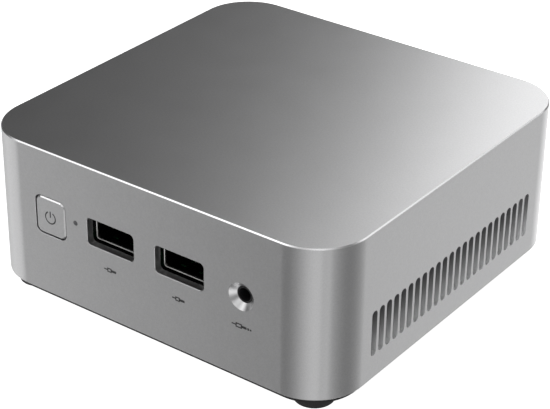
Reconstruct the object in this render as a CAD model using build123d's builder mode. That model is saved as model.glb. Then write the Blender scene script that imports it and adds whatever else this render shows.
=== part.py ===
"""Mini PC: an aluminium shell over a mainboard and blower, closed by a plastic cover.

Millimetres, +Z up. The origin is the middle of the plan, on the table under the feet.
The front, with the power button and its ports, faces -Y. The vented sides face +X and -X.
"""

import os
from math import cos, radians, sin

from build123d import *

os.makedirs("parts", exist_ok=True)

# Shell ------------------------------------------------------------------------------
case_width = 112.0
case_depth = 111.0
case_height = 42.55  # the aluminium alone, from its rim to the roof
case_corner = 14.4
wall = 2.2
roof = 2.0
roof_chamfer = 0.3
rim_chamfer = 0.25
rim_height = 4.0  # the rim above the table

# Side vents
vent_count = 24
blind_vents = 2  # the rearmost ones on each side, which are only shallow pockets
vent_pitch = 3.167
vent_width = 2.25
vent_length = 12.9
vent_middle = 13.35  # above the rim
blind_depth = 0.8

# Lock slot in the left side
lock_length = 7.0
lock_width = 3.0
lock_from_rear = 17.0
lock_above_rim = 30.0

# Bottom cover, feet and their screws ------------------------------------------------
cover_flange = 1.8  # the edge seen under the rim
cover_inset = 1.75  # of that lip from the shell's outside
cover_plug = 1.6  # the part that stands inside the shell
cover_clearance = 0.2
cover_vent_length = 40.0
cover_vent_width = 2.0
cover_vent_count = 9
cover_vent_pitch = 4.5

foot_diameter = 10.5
foot_root_diameter = 11.6
foot_recess = 0.5
foot_clearance = 0.1
foot_from_side = 10.2
foot_from_front = 9.0
foot_hole_clearance = 0.4

screw_diameter = 3.0
screw_head_diameter = 5.6
screw_head_height = 1.9
screw_socket = 2.0
screw_reach = 6.0  # how far a screw or stud stands in its thread
thread_clearance = 0.05
through_clearance = 0.2
standoff_flats = 5.5
post_diameter = 7.4

insert_spacing = 75.0  # bolt square for a wall or monitor bracket
insert_thread = 4.0
insert_diameter = 5.6
insert_length = 3.8
insert_boss = 8.2

# Mainboard --------------------------------------------------------------------------
board_above_rim = 20.4  # its top face
board_thickness = 1.6
board_side_gap = 3.0
board_corner_relief = 7.2  # its corners are that much tighter than the shell's inside
board_front_gap = 3.0
board_rear_gap = 2.2

# Power button, its guide and switch -------------------------------------------------
button_x = -31.65
button_above_board = 3.1
button_width = 9.8
button_height = 10.6
button_corner = 1.8
button_gap = 0.3
button_bevel = 0.3
button_flange = 1.0  # wider than the hole on each side
button_flange_thickness = 0.9
button_flange_gap = 0.2  # to the wall at rest
button_travel = 0.4
button_stem_diameter = 4.0
guide_wall = 1.1
guide_clearance = 0.25
guide_lip = 0.4
guide_board_gap = 0.2
switch_width = 6.2
switch_height = 6.0
switch_depth = 4.2
plunger_diameter = 3.2
plunger_clearance = 0.1
plunger_gap = 0.2  # to the button's stem
plunger_length = 2.4
switch_from_guide = 0.45

# Status light -----------------------------------------------------------------------
light_x = -23.0
light_above_board = 4.5
light_hole = 1.45
light_clearance = 0.05
light_leg_diameter = 1.8
light_run = 7.0  # from the front face back to the middle of the leg
led_size = (1.6, 0.8, 0.7)
led_gap = 0.2

# USB receptacles --------------------------------------------------------------------
usb_x = 11.15  # each side of the pair's middle
usb_pair_x = -0.28
usb_above_board = 3.7
usb_cutout = (15.4, 7.8)
usb_cutout_corner = 1.25
usb_mouth = (14.6, 7.0)
usb_mouth_depth = 3.0  # the mouth behind the front face
usb_flare = 3.0
usb_inside = (12.5, 5.12)
usb_sheet = 0.3
usb_tube_corner = 0.6
usb_length = 14.0
usb_tongue = (11.1, 1.84)
usb_tongue_length = 8.4
usb_tongue_from_roof = 0.7
usb_spring_dip = 0.4  # how far a leaf spring stands into the mouth
usb_contact_x = (-3.5, -1.0, 1.0, 3.5)
usb_fast_contact_x = (-4.0, -2.0, 0.0, 2.0, 4.0)
contact_width = 0.9
contact_thickness = 0.15
cutout_chamfer = 0.13

# Audio jack -------------------------------------------------------------------------
audio_x = 30.1
audio_above_board = 2.9
audio_bevel_diameter = 7.6
audio_bevel_depth = 1.45
audio_hole = 4.6
audio_bore = 3.6
audio_bore_length = 13.0
audio_body = (6.6, 5.8)
audio_nose_clearance = 0.1
audio_contact_y = (4.0, 8.0)  # behind the mouth
audio_window = (2.0, 1.6)

# Cooling ----------------------------------------------------------------------------
cpu_at = (-12.0, -4.0)
cpu_substrate = (32.0, 26.0, 1.2)
cpu_lid = (22.0, 18.0, 0.9)
paste_thickness = 0.1
cold_plate_size = (34.0, 34.0, 2.6)
cold_plate_screw_pitch = 28.0
cold_plate_screw = 2.0
pipe_width = 6.0
pipe_thickness = 3.0
pipe_spacing = 11.0
pipe_rear_gap = 12.0  # from the rear wall
fin_depth = 18.0
fin_height = 8.8
fin_plate = 0.8
fin_thickness = 0.4
fin_pitch = 1.9
fin_rear_gap = 0.8

blower_at = (-10.0, 2.0)
blower_gap = 0.4  # above the heat pipes
blower_height = 8.0
blower_floor = 1.0
blower_lid_thickness = 0.6
blower_wall = 1.2
blower_inner_radius = 25.0
blower_inlet_radius = 17.0
blower_outlet = (18.5, 16.8)  # the outlet's edges, left and right of the rotor's axis
rotor_radius = 22.5
rotor_gap = 0.8  # above the floor and under the lid
rotor_blades = 27
blade_thickness = 0.6
hub_radius = 10.0
hub_wall = 1.0
shaft_radius = 1.0
running_clearance = 0.03
bearing_radius = 2.6
stator_radius = 7.5
magnet_thickness = 0.9
air_gap = 0.5
lug_radius = 3.0
lug_reach = 29.6
lug_angles = (0.0, 180.0, 270.0)
lug_screw = 2.0
pillar_diameter = 4.4
lead_diameter = 1.8
header_at = (18.0, -31.0)
header_size = (5.0, 3.0, 2.6)

# Cards, memory and clock cell -------------------------------------------------------
memory_size = (67.6, 30.0, 1.2)
memory_chip = (12.0, 9.0, 1.0)
memory_socket_depth = 5.5
memory_socket_height = 4.6
memory_front_y = -44.5  # the front edges of the two modules
memory_rear_y = -10.5
module_drop = 2.7  # the module's upper face under the board
module_in_socket = 2.5
slot_clearance = 0.1
ssd_size = (80.0, 22.0, 0.8)
ssd_x = -38.5
ssd_y = 21.5
ssd_drop = 2.0
ssd_chip = (16.0, 13.0, 1.1)
card_socket_height = 4.0
card_socket_depth = 5.0
wifi_size = (22.0, 30.0, 0.8)
wifi_x = 25.0
wifi_y = -8.0
wifi_rise = 1.8
wifi_shield = (18.0, 14.0, 1.2)
card_screw = 2.0
card_nut = 4.6
coin_at = (34.0, -26.5)
coin_diameter = 20.0
coin_thickness = 3.2
coin_wall = 1.4
coin_clearance = 0.15

# Rear sockets -----------------------------------------------------------------------
dc_x = -35.5
dc_above_board = 6.5
dc_body = (9.0, 11.0)
dc_length = 14.0
dc_nose_diameter = 8.4
dc_bore = 6.4
dc_bore_length = 10.0
dc_pin_diameter = 2.5
hdmi_x = (-21.5, -4.5)
hdmi_above_board = 3.1
hdmi_outside = (14.6, 5.2)
hdmi_step = 1.5
hdmi_sheet = 0.3
hdmi_length = 11.0
hdmi_tongue = (11.2, 1.1)
lan_x = 32.6
lan_body = (16.0, 13.6)
lan_length = 20.0
lan_cavity = (11.8, 8.0)
lan_key = (6.4, 2.6)
lan_cavity_length = 12.0
lan_contacts = 8
lan_contact_pitch = 1.02
rear_usb_x = 15.2
rear_usb_body = (14.0, 15.4)
rear_usb_pitch = 7.6
rear_gap = 0.3  # between a rear socket and its cut-out
rear_face_depth = 0.6  # the sockets' faces behind the rear face
grille_height = 7.0
grille_width = 1.2

# Places worked out from the sizes ---------------------------------------------------
front_y = -case_depth / 2
rear_y = case_depth / 2
side_x = case_width / 2
front_wall_y = front_y + wall
rear_wall_y = rear_y - wall
roof_z = rim_height + case_height
ceiling_z = roof_z - roof
cover_z = rim_height - cover_flange
cover_top_z = rim_height + cover_plug
foot_seat_z = cover_z + foot_recess
board_z = rim_height + board_above_rim
board_under_z = board_z - board_thickness
board_front_y = front_wall_y + board_front_gap
board_rear_y = rear_wall_y - board_rear_gap
board_width = case_width - 2 * (wall + board_side_gap)
board_corner = case_corner - wall - board_corner_relief
foot_x = side_x - foot_from_side
foot_y = case_depth / 2 - foot_from_front
corners = [(x, y) for y in (-foot_y, foot_y) for x in (-foot_x, foot_x)]

button_z = board_z + button_above_board
button_hole = (button_width + 2 * button_gap, button_height + 2 * button_gap)
flange_size = tuple(side + 2 * button_flange for side in button_hole)
flange_y = front_wall_y + button_flange_gap
flange_rear_y = flange_y + button_flange_thickness
guide_rear_y = board_front_y - guide_board_gap
guide_lip_y = guide_rear_y - guide_lip
switch_y = guide_rear_y + switch_from_guide
plunger_y = switch_y - 1.5
stem_y = plunger_y - plunger_gap
light_z = board_z + light_above_board
light_leg_y = front_y + light_run
usb_z = board_z + usb_above_board
usb_y = front_y + usb_mouth_depth
audio_z = board_z + audio_above_board
audio_mouth_y = front_y + audio_bevel_depth

cpu_top_z = board_z + cpu_substrate[2] + cpu_lid[2]
plate_z = cpu_top_z + paste_thickness
pipe_z = plate_z + cold_plate_size[2]
pipe_top_z = pipe_z + pipe_thickness
blower_z = pipe_top_z + blower_gap
blower_floor_z = blower_z + blower_floor
blower_lid_z = blower_z + blower_height - blower_lid_thickness
rotor_z = blower_floor_z + rotor_gap
rotor_top_z = blower_lid_z - rotor_gap
fin_rear_y = rear_wall_y - fin_rear_gap
fin_front_y = fin_rear_y - fin_depth
outlet_left = blower_at[0] - blower_outlet[0]
outlet_right = blower_at[0] + blower_outlet[1]
fin_width = outlet_right - outlet_left
fin_x = (outlet_left + outlet_right) / 2
lug_points = [
    (blower_at[0] + lug_reach * cos(radians(a)), blower_at[1] + lug_reach * sin(radians(a)))
    for a in lug_angles
]
lug_z = blower_floor_z

dc_z = board_z + dc_above_board
hdmi_z = board_z + hdmi_above_board
socket_face_y = rear_y - rear_face_depth
lan_z = board_z + lan_body[1] / 2
rear_usb_z = board_z + rear_usb_body[1] / 2
grille_z = pipe_top_z + fin_height / 2
nut_y = ssd_y + ssd_size[1] / 2
ssd_z = board_under_z - ssd_drop
wifi_z = board_z + wifi_rise

BASE = (Align.CENTER, Align.CENTER, Align.MIN)
HANG = (Align.CENTER, Align.CENTER, Align.MAX)
LEFT = (Align.MIN, Align.CENTER, Align.CENTER)


def facing_front(y):
    """A plane across the case at depth y: local x to the right, local y up, facing -Y."""
    return Plane(origin=(0, y, 0), x_dir=(1, 0, 0), z_dir=(0, -1, 0))


def facing_right(x):
    """A plane along the case at x: local x to the rear, local y up, facing +X."""
    return Plane(origin=(x, 0, 0), x_dir=(0, 1, 0), z_dir=(1, 0, 0))


def save(piece, name):
    """Label a finished piece and write it under its own name."""
    piece.part.label = name
    export_step(piece.part, f"parts/{name}.step")


# Shell ------------------------------------------------------------------------------
with BuildPart() as housing:
    with BuildSketch(Plane.XY.offset(rim_height)):
        RectangleRounded(case_width, case_depth, case_corner)
    extrude(amount=case_height)
    chamfer(housing.faces().sort_by(Axis.Z)[-1].edges(), roof_chamfer)
    chamfer(housing.faces().sort_by(Axis.Z)[0].edges(), rim_chamfer)
    with BuildSketch(Plane.XY.offset(rim_height)):
        RectangleRounded(case_width - 2 * wall, case_depth - 2 * wall, case_corner - wall)
    extrude(amount=case_height - roof, mode=Mode.SUBTRACT)
    # Posts from the ceiling down to the board, tapped for the standoffs' studs
    with BuildSketch(Plane.XY.offset(board_z)):
        with Locations(*corners):
            Circle(post_diameter / 2)
    extrude(until=Until.NEXT)
    with BuildSketch(Plane.XY.offset(board_z)):
        with Locations(*corners):
            Circle(screw_diameter / 2 + thread_clearance)
    extrude(amount=screw_reach + 1, mode=Mode.SUBTRACT)
    # Front: button, light, two USB cut-outs and the bevelled audio hole
    with BuildSketch(facing_front(front_y)):
        with Locations((button_x, button_z)):
            RectangleRounded(*button_hole, button_corner + button_gap)
        with Locations((light_x, light_z)):
            Circle(light_hole / 2)
        with Locations((usb_pair_x - usb_x, usb_z), (usb_pair_x + usb_x, usb_z)):
            RectangleRounded(*usb_cutout, usb_cutout_corner)
    extrude(amount=-wall, mode=Mode.SUBTRACT)
    front_face = housing.faces().sort_by(Axis.Y)[0]
    cutouts = [w for w in front_face.inner_wires() if w.bounding_box().size.X > 2 * light_hole]
    chamfer([edge for outline in cutouts for edge in outline.edges()], cutout_chamfer)
    with BuildSketch(facing_front(front_y)):
        with Locations((audio_x, audio_z)):
            Circle(audio_bevel_diameter / 2)
    with BuildSketch(facing_front(front_y + audio_bevel_depth)):
        with Locations((audio_x, audio_z)):
            Circle(audio_hole / 2)
    loft(mode=Mode.SUBTRACT)
    with BuildSketch(facing_front(front_y)):
        with Locations((audio_x, audio_z)):
            Circle(audio_hole / 2)
    extrude(amount=-wall, mode=Mode.SUBTRACT)
    # Vents through both sides, then the blind ones behind them
    with BuildSketch(facing_right(0)):
        with Locations((-blind_vents * vent_pitch / 2, rim_height + vent_middle)):
            with GridLocations(vent_pitch, 0, vent_count - blind_vents, 1):
                SlotOverall(vent_length, vent_width, rotation=90)
    extrude(amount=side_x, both=True, mode=Mode.SUBTRACT)
    for side in (1, -1):
        with BuildSketch(facing_right(side * side_x)):
            with Locations(((vent_count - blind_vents) * vent_pitch / 2, rim_height + vent_middle)):
                with GridLocations(vent_pitch, 0, blind_vents, 1):
                    SlotOverall(vent_length, vent_width, rotation=90)
        extrude(amount=-side * blind_depth, mode=Mode.SUBTRACT)
    with BuildSketch(facing_right(-side_x)):
        with Locations((rear_y - lock_from_rear, rim_height + lock_above_rim)):
            SlotOverall(lock_length, lock_width)
    extrude(amount=wall, mode=Mode.SUBTRACT)
    # Rear: a cut-out for each socket and the grille over the fins
    with BuildSketch(facing_front(rear_y)):
        with Locations((dc_x, dc_z)):
            Circle(dc_nose_diameter / 2 + rear_gap)
        with Locations(*[(x, hdmi_z) for x in hdmi_x]):
            RectangleRounded(hdmi_outside[0] + 2 * rear_gap, hdmi_outside[1] + 2 * rear_gap, 0.8)
        with Locations((lan_x, lan_z)):
            RectangleRounded(lan_body[0] + 2 * rear_gap, lan_body[1] + 2 * rear_gap, 0.6)
        with Locations((rear_usb_x, rear_usb_z)):
            RectangleRounded(rear_usb_body[0] + 2 * rear_gap, rear_usb_body[1] + 2 * rear_gap, 0.6)
        with Locations((fin_x, grille_z)):
            with GridLocations(2 * fin_pitch, 0, int(fin_width / fin_pitch / 2), 1):
                SlotOverall(grille_height, grille_width, rotation=90)
    extrude(amount=wall, mode=Mode.SUBTRACT)
save(housing, "housing")

# Bottom cover -----------------------------------------------------------------------
inserts = insert_spacing / 2
with BuildPart() as bottom_cover:
    with BuildSketch(Plane.XY.offset(cover_z)):
        RectangleRounded(
            case_width - 2 * cover_inset, case_depth - 2 * cover_inset, case_corner - cover_inset
        )
    extrude(amount=cover_flange)
    with BuildSketch(Plane.XY.offset(rim_height)):
        plug_inset = wall + cover_clearance
        RectangleRounded(
            case_width - 2 * plug_inset, case_depth - 2 * plug_inset, case_corner - plug_inset
        )
    extrude(amount=cover_plug)
    with BuildSketch(Plane.XY.offset(cover_z)):
        with GridLocations(insert_spacing, insert_spacing, 2, 2):
            Circle(insert_boss / 2)
    extrude(amount=insert_length)
    with BuildSketch(Plane.XY.offset(cover_z)):
        with GridLocations(insert_spacing, insert_spacing, 2, 2):
            Circle(insert_diameter / 2)
    extrude(amount=insert_length, mode=Mode.SUBTRACT)
    with BuildSketch(Plane.XY.offset(cover_z)):
        with Locations(*corners):
            Circle(foot_root_diameter / 2 + foot_clearance)
    extrude(amount=foot_recess, mode=Mode.SUBTRACT)
    with BuildSketch(Plane.XY.offset(cover_z)):
        with Locations(*corners):
            Circle(screw_diameter / 2 + through_clearance)
        with GridLocations(0, cover_vent_pitch, 1, cover_vent_count):
            SlotOverall(cover_vent_length, cover_vent_width)
    extrude(amount=cover_flange + cover_plug, mode=Mode.SUBTRACT)
save(bottom_cover, "bottom_cover")

for (x, y), name in zip(corners, ("front_left", "front_right", "rear_left", "rear_right")):
    with BuildPart() as foot:
        with BuildSketch(Plane.XY.offset(foot_seat_z)):
            with Locations((x, y)):
                Circle(foot_root_diameter / 2)
        with BuildSketch(Plane.XY):
            with Locations((x, y)):
                Circle(foot_diameter / 2)
        loft()
        fillet(foot.edges().sort_by(Axis.Z)[0], 0.5)
        with BuildSketch(Plane.XY):
            with Locations((x, y)):
                Circle(screw_head_diameter / 2 + foot_hole_clearance)
        extrude(amount=foot_seat_z, mode=Mode.SUBTRACT)
    save(foot, f"foot_{name}")

with BuildPart() as cover_screws:
    with Locations(*[(x, y, foot_seat_z) for x, y in corners]):
        Cylinder(screw_head_diameter / 2, screw_head_height, align=HANG)
        Cylinder(screw_diameter / 2, cover_top_z - foot_seat_z + screw_reach, align=BASE)
    head_z = foot_seat_z - screw_head_height
    chamfer(cover_screws.edges().group_by(Axis.Z)[0], 0.4)
    with BuildSketch(Plane.XY.offset(head_z)):
        with Locations(*corners):
            RegularPolygon(screw_socket / 2, 6)
    extrude(amount=screw_head_height * 0.6, mode=Mode.SUBTRACT)
save(cover_screws, "cover_screws")

with BuildPart() as standoffs:
    with BuildSketch(Plane.XY.offset(cover_top_z)):
        with Locations(*corners):
            RegularPolygon(standoff_flats / 2, 6, major_radius=False)
    extrude(amount=board_under_z - cover_top_z)
    with Locations(*[(x, y, board_under_z) for x, y in corners]):
        Cylinder(screw_diameter / 2, board_thickness + screw_reach, align=BASE)
    with BuildSketch(Plane.XY.offset(cover_top_z)):
        with Locations(*corners):
            Circle(screw_diameter / 2 + thread_clearance)
    extrude(amount=screw_reach + 1, mode=Mode.SUBTRACT)
save(standoffs, "standoffs")

with BuildPart() as bracket_inserts:
    with BuildSketch(Plane.XY.offset(cover_z)):
        with GridLocations(insert_spacing, insert_spacing, 2, 2):
            Circle(insert_diameter / 2)
            Circle(insert_thread / 2, mode=Mode.SUBTRACT)
    extrude(amount=insert_length)
save(bracket_inserts, "bracket_inserts")

# Mainboard --------------------------------------------------------------------------
with BuildPart() as mainboard:
    with BuildSketch(Plane.XY.offset(board_under_z)):
        with Locations((0, (board_front_y + board_rear_y) / 2)):
            RectangleRounded(board_width, board_rear_y - board_front_y, board_corner)
        with Locations(*corners):
            Circle(screw_diameter / 2 + through_clearance, mode=Mode.SUBTRACT)
        with Locations(cpu_at):
            with GridLocations(cold_plate_screw_pitch, cold_plate_screw_pitch, 2, 2):
                Circle(cold_plate_screw / 2 + thread_clearance, mode=Mode.SUBTRACT)
    extrude(amount=board_thickness)
save(mainboard, "mainboard")

# Power button -----------------------------------------------------------------------
with BuildPart() as power_button:
    with BuildSketch(facing_front(front_y)):
        with Locations((button_x, button_z)):
            RectangleRounded(button_width, button_height, button_corner)
    extrude(amount=-(flange_rear_y - front_y))
    chamfer(power_button.faces().sort_by(Axis.Y)[0].edges(), button_bevel)
    with BuildSketch(facing_front(flange_y)):
        with Locations((button_x, button_z)):
            RectangleRounded(*flange_size, button_corner + button_gap + button_flange)
    extrude(amount=-button_flange_thickness)
    with BuildSketch(facing_front(flange_rear_y)):
        with Locations((button_x, button_z)):
            Circle(button_stem_diameter / 2)
    extrude(amount=-(stem_y - flange_rear_y))
save(power_button, "power_button")

with BuildPart() as button_guide:
    pocket = tuple(side + 2 * guide_clearance for side in flange_size)
    with BuildSketch(facing_front(front_wall_y)):
        with Locations((button_x, button_z)):
            Rectangle(pocket[0] + 2 * guide_wall, pocket[1] + 2 * guide_wall)
            RectangleRounded(
                *pocket, button_corner + button_gap + button_flange, mode=Mode.SUBTRACT
            )
    extrude(amount=-(guide_rear_y - front_wall_y))
    with BuildSketch(facing_front(guide_lip_y)):
        with Locations((button_x, button_z)):
            Rectangle(pocket[0] + guide_wall, pocket[1] + guide_wall)
            Circle(button_stem_diameter / 2 + guide_clearance, mode=Mode.SUBTRACT)
    extrude(amount=-guide_lip)
save(button_guide, "button_guide")

with BuildPart() as power_switch:
    with BuildSketch(facing_front(switch_y)):
        with Locations((button_x, board_z + switch_height / 2)):
            Rectangle(switch_width, switch_height)
    extrude(amount=-switch_depth)
    with BuildSketch(facing_front(switch_y)):
        with Locations((button_x, button_z)):
            Circle(plunger_diameter / 2 + plunger_clearance)
    extrude(amount=-(plunger_length + button_travel), mode=Mode.SUBTRACT)
save(power_switch, "power_switch")

with BuildPart() as switch_plunger:
    with BuildSketch(facing_front(plunger_y)):
        with Locations((button_x, button_z)):
            Circle(plunger_diameter / 2)
    extrude(amount=-plunger_length)
    fillet(switch_plunger.faces().sort_by(Axis.Y)[0].edges(), 0.3)
save(switch_plunger, "switch_plunger")

# Status light -----------------------------------------------------------------------
with BuildPart() as light_pipe:
    with BuildSketch(facing_front(front_y)):
        with Locations((light_x, light_z)):
            Circle(light_hole / 2 - light_clearance)
    extrude(amount=-light_run)
    light_leg_z = board_z + led_size[2] + led_gap
    with Locations((light_x, light_leg_y, light_leg_z)):
        Cylinder(light_leg_diameter / 2, light_z + light_hole / 2 - light_leg_z, align=BASE)
save(light_pipe, "light_pipe")

with BuildPart() as status_led:
    with Locations((light_x, light_leg_y, board_z)):
        Box(*led_size, align=BASE)
save(status_led, "status_led")


# USB receptacles --------------------------------------------------------------------
def usb_shell(x, z):
    """One steel receptacle shell with a flared mouth and leaf springs in its floor and roof."""
    outside = tuple(side + 2 * usb_sheet for side in usb_inside)
    inner_mouth = tuple(side - 2 * usb_sheet for side in usb_mouth)
    flare_y = usb_y + usb_flare
    with BuildPart() as shell:
        for mouth, tube, corner, mode in (
            (usb_mouth, outside, usb_tube_corner + usb_sheet, Mode.ADD),
            (inner_mouth, usb_inside, usb_tube_corner, Mode.SUBTRACT),
        ):
            with BuildSketch(facing_front(usb_y)):
                with Locations((x, z)):
                    RectangleRounded(*mouth, corner)
            with BuildSketch(facing_front(flare_y)):
                with Locations((x, z)):
                    RectangleRounded(*tube, corner)
            loft(mode=mode)
            with BuildSketch(facing_front(flare_y)):
                with Locations((x, z)):
                    RectangleRounded(*tube, corner)
            extrude(amount=-(usb_length - usb_flare), mode=mode)
        # Windows cut in the sheet, each with a leaf that leans in from its rear end
        for spring_x in (x - 2.9, x + 2.9):
            with BuildSketch(facing_right(spring_x)):
                with Locations((usb_y + 5.2, z)):
                    Rectangle(6.4, outside[1] + 1)
            extrude(amount=1.1, both=True, mode=Mode.SUBTRACT)
            for up in (1, -1):
                sheet_z = z + up * (usb_inside[1] / 2 + usb_sheet)
                with BuildSketch(facing_right(spring_x)):
                    with BuildLine():
                        Polyline(
                            (usb_y + 8.6, sheet_z),
                            (usb_y + 5.2, sheet_z - up * (usb_spring_dip + 0.05)),
                            (usb_y + 2.6, sheet_z - up * 0.1),
                            (usb_y + 2.6, sheet_z - up * 0.35),
                            (usb_y + 5.2, sheet_z - up * (usb_spring_dip + usb_sheet)),
                            (usb_y + 8.6, sheet_z - up * usb_sheet),
                            close=True,
                        )
                    make_face()
                extrude(amount=0.85, both=True)
    return shell


def usb_insulator(x, z):
    """The moulded block that fills the shell's rear end, with the tongue that it carries."""
    tongue_z = z + usb_inside[1] / 2 - usb_tongue_from_roof - usb_tongue[1] / 2
    block_y = usb_y + usb_length
    with BuildPart() as insulator:
        with BuildSketch(facing_front(block_y)):
            with Locations((x, z)):
                RectangleRounded(
                    usb_inside[0] - 2 * slot_clearance,
                    usb_inside[1] - 2 * slot_clearance,
                    usb_tube_corner,
                )
        extrude(amount=usb_length - usb_tongue_length - 2.0)
        with BuildSketch(facing_front(block_y - 1.0)):
            with Locations((x, tongue_z)):
                Rectangle(*usb_tongue)
        extrude(amount=usb_length - 3.0)
        chamfer(insulator.faces().sort_by(Axis.Y)[0].edges().filter_by(Axis.X), 0.3)
    return insulator


def usb_contacts(x, z):
    """Four long contacts under the tongue and five short ones at the front of its top."""
    tongue_top = z + usb_inside[1] / 2 - usb_tongue_from_roof
    tongue_under = tongue_top - usb_tongue[1]
    with BuildPart() as contacts:
        with Locations(*[(x + dx, usb_y + 3.0, tongue_under) for dx in usb_contact_x]):
            Box(contact_width, 5.6, contact_thickness, align=(Align.CENTER, Align.MIN, Align.MAX))
        with Locations(*[(x + dx, usb_y + 2.4, tongue_top) for dx in usb_fast_contact_x]):
            Box(contact_width, 2.2, contact_thickness, align=(Align.CENTER, Align.MIN, Align.MIN))
    return contacts


for side, x in (("left", usb_pair_x - usb_x), ("right", usb_pair_x + usb_x)):
    save(usb_shell(x, usb_z), f"usb_{side}_shell")
    save(usb_insulator(x, usb_z), f"usb_{side}_insulator")
    save(usb_contacts(x, usb_z), f"usb_{side}_contacts")

# Audio jack -------------------------------------------------------------------------
audio_rear_y = audio_mouth_y + audio_bore_length + 1.2
with BuildPart() as audio_jack:
    with BuildSketch(facing_front(front_wall_y)):
        with Locations((audio_x, audio_z)):
            Rectangle(*audio_body)
    extrude(amount=-(audio_rear_y - front_wall_y))
    with BuildSketch(facing_front(audio_mouth_y)):
        with Locations((audio_x, audio_z)):
            Circle(audio_hole / 2 - audio_nose_clearance)
    extrude(amount=-wall)
    with BuildSketch(facing_front(audio_mouth_y)):
        with Locations((audio_x, audio_z)):
            Circle(audio_bore / 2)
    extrude(amount=-audio_bore_length, mode=Mode.SUBTRACT)
    # Windows beside the bore, where the contact springs lie
    for window_y in audio_contact_y:
        with Locations((audio_x, audio_mouth_y + window_y, audio_z)):
            Box(audio_body[0], *audio_window, align=LEFT, mode=Mode.SUBTRACT)
save(audio_jack, "audio_jack")

with BuildPart() as audio_contacts:
    with Locations(
        *[
            (audio_x + audio_bore / 2 + thread_clearance, audio_mouth_y + y, audio_z)
            for y in audio_contact_y
        ]
    ):
        Box(0.3, audio_window[0] - 0.4, audio_window[1] - 0.4, align=LEFT)
save(audio_contacts, "audio_contacts")

# Processor and heatsink -------------------------------------------------------------
with BuildPart() as cpu_package:
    with Locations((*cpu_at, board_z)):
        Box(*cpu_substrate, align=BASE)
    with Locations((*cpu_at, board_z + cpu_substrate[2])):
        Box(*cpu_lid, align=BASE)
save(cpu_package, "cpu_package")

with BuildPart() as thermal_paste:
    with Locations((*cpu_at, cpu_top_z)):
        Box(cpu_lid[0] - 2, cpu_lid[1] - 2, paste_thickness, align=BASE)
save(thermal_paste, "thermal_paste")

with BuildPart() as cold_plate:
    with BuildSketch(Plane.XY.offset(plate_z)):
        with Locations(cpu_at):
            RectangleRounded(*cold_plate_size[:2], 2.5)
            with GridLocations(cold_plate_screw_pitch, cold_plate_screw_pitch, 2, 2):
                Circle(cold_plate_screw / 2 + through_clearance, mode=Mode.SUBTRACT)
    extrude(amount=cold_plate_size[2])
save(cold_plate, "cold_plate")

with BuildPart() as cold_plate_screws:
    with Locations((*cpu_at, pipe_z)):
        with GridLocations(cold_plate_screw_pitch, cold_plate_screw_pitch, 2, 2):
            Cylinder(cold_plate_screw, 1.4, align=BASE)
            Cylinder(cold_plate_screw / 2, pipe_z - board_under_z, align=HANG)
    chamfer(cold_plate_screws.edges().group_by(Axis.Z)[-1], 0.3)
save(cold_plate_screws, "cold_plate_screws")

with BuildPart() as heat_pipes:
    pipe_front_y = cpu_at[1] - cold_plate_size[1] / 2 + 1
    with BuildSketch(facing_front(pipe_front_y)):
        with Locations((cpu_at[0], pipe_z + pipe_thickness / 2)):
            with GridLocations(pipe_spacing, 0, 2, 1):
                SlotOverall(pipe_width, pipe_thickness)
    extrude(amount=-(rear_wall_y - pipe_rear_gap - pipe_front_y))
save(heat_pipes, "heat_pipes")

with BuildPart() as fin_stack:
    with Locations((fin_x, (fin_front_y + fin_rear_y) / 2, pipe_top_z)):
        Box(fin_width, fin_depth, fin_height, align=BASE)
    with BuildSketch(facing_front(fin_rear_y)):
        with Locations((fin_x, pipe_top_z + fin_height / 2)):
            with GridLocations(fin_pitch, 0, int(fin_width / fin_pitch) - 1, 1):
                Rectangle(fin_pitch - fin_thickness, fin_height - 2 * fin_plate)
    extrude(amount=fin_depth, mode=Mode.SUBTRACT)
save(fin_stack, "fin_stack")

# Blower -----------------------------------------------------------------------------
scroll_rear_y = fin_front_y - 0.2


def scroll(radius, left, right, rear):
    """The blower's plan: a round chamber that runs straight out to its rear outlet."""
    with BuildSketch() as plan:
        with Locations(blower_at):
            Circle(radius)
        with Locations((left, blower_at[1])):
            Rectangle(right - left, rear - blower_at[1], align=(Align.MIN, Align.MIN))
    return plan.sketch


outer_plan = scroll(
    blower_inner_radius + blower_wall,
    outlet_left - blower_wall,
    outlet_right + blower_wall,
    scroll_rear_y,
)
inner_plan = scroll(blower_inner_radius, outlet_left, outlet_right, scroll_rear_y + 1)

with BuildPart() as blower_case:
    with BuildSketch(Plane.XY.offset(blower_z)):
        add(outer_plan)
        for x, y in lug_points:
            with Locations((x, y)):
                Circle(lug_radius)
            with BuildLine():
                Line(blower_at, (x, y))
            trace(line_width=2 * lug_radius - 1)
        with Locations(*lug_points):
            Circle(lug_screw / 2 + through_clearance, mode=Mode.SUBTRACT)
    extrude(amount=blower_floor)
    with BuildSketch(Plane.XY.offset(blower_floor_z)):
        add(outer_plan)
        add(inner_plan, mode=Mode.SUBTRACT)
    extrude(amount=blower_lid_z - blower_floor_z)
save(blower_case, "blower_case")

with BuildPart() as blower_lid:
    with BuildSketch(Plane.XY.offset(blower_lid_z)):
        add(outer_plan)
        with Locations(blower_at):
            Circle(blower_inlet_radius, mode=Mode.SUBTRACT)
    extrude(amount=blower_lid_thickness)
save(blower_lid, "blower_lid")

hub_inner_radius = hub_radius - hub_wall
hub_disc_z = rotor_top_z - hub_wall
bearing_top_z = hub_disc_z - air_gap
with BuildPart() as blower_bearing:
    with BuildSketch(Plane.XY.offset(blower_floor_z)):
        with Locations(blower_at):
            Circle(bearing_radius)
            Circle(shaft_radius + running_clearance, mode=Mode.SUBTRACT)
    extrude(amount=bearing_top_z - blower_floor_z)
save(blower_bearing, "blower_bearing")

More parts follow.
